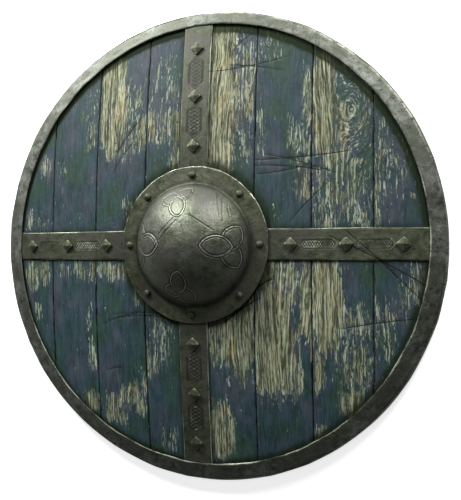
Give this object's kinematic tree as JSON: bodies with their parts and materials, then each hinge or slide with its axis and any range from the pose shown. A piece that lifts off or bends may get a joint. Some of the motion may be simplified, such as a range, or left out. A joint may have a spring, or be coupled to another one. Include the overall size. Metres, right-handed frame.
{
  "type": "round shield",
  "caption": "Round wooden shield of dished planks with a folded iron rim, crossed iron straps, a domed iron boss and a grip bar behind it.",
  "frame": {"origin": "on the ground under the shield's centre, where it lies on its back", "axes": "+Z out of the boss, +Y towards the top edge along the planks, +X to the right seen from the front"},
  "size_m": [0.8, 0.8, 0.1061],
  "materials": {
    "painted_wood": "weathered slate blue paint, worn through to bare wood",
    "bare_wood": "aged, handled",
    "rim_iron": "hammered, worn bright on the edges",
    "strap_iron": "dark olive patina",
    "boss_iron": "hammered, engraved, dull sheen",
    "stud_iron": "dark olive patina, worn tops"
  },
  "bodies": {
    "root": {"plank_1": "painted_wood", "plank_2": "painted_wood", "plank_3": "painted_wood", "plank_4": "painted_wood", "plank_5": "painted_wood", "plank_6": "painted_wood", "plank_7": "painted_wood", "plank_8": "painted_wood", "iron_rim": "rim_iron", "strap_right": "strap_iron", "strap_top": "strap_iron", "strap_left": "strap_iron", "strap_bottom": "strap_iron", "boss": "boss_iron", "grip_bar": "bare_wood", "stud_right_1": "stud_iron", "stud_right_2": "stud_iron", "stud_right_3": "stud_iron", "stud_top_1": "stud_iron", "stud_top_2": "stud_iron", "stud_top_3": "stud_iron", "stud_left_1": "stud_iron", "stud_left_2": "stud_iron", "stud_left_3": "stud_iron", "stud_bottom_1": "stud_iron", "stud_bottom_2": "stud_iron", "stud_bottom_3": "stud_iron", "boss_rivet_1": "stud_iron", "boss_rivet_2": "stud_iron", "boss_rivet_3": "stud_iron", "boss_rivet_4": "stud_iron", "boss_rivet_5": "stud_iron", "boss_rivet_6": "stud_iron", "boss_rivet_7": "stud_iron", "boss_rivet_8": "stud_iron"}
  },
  "joints": []
}
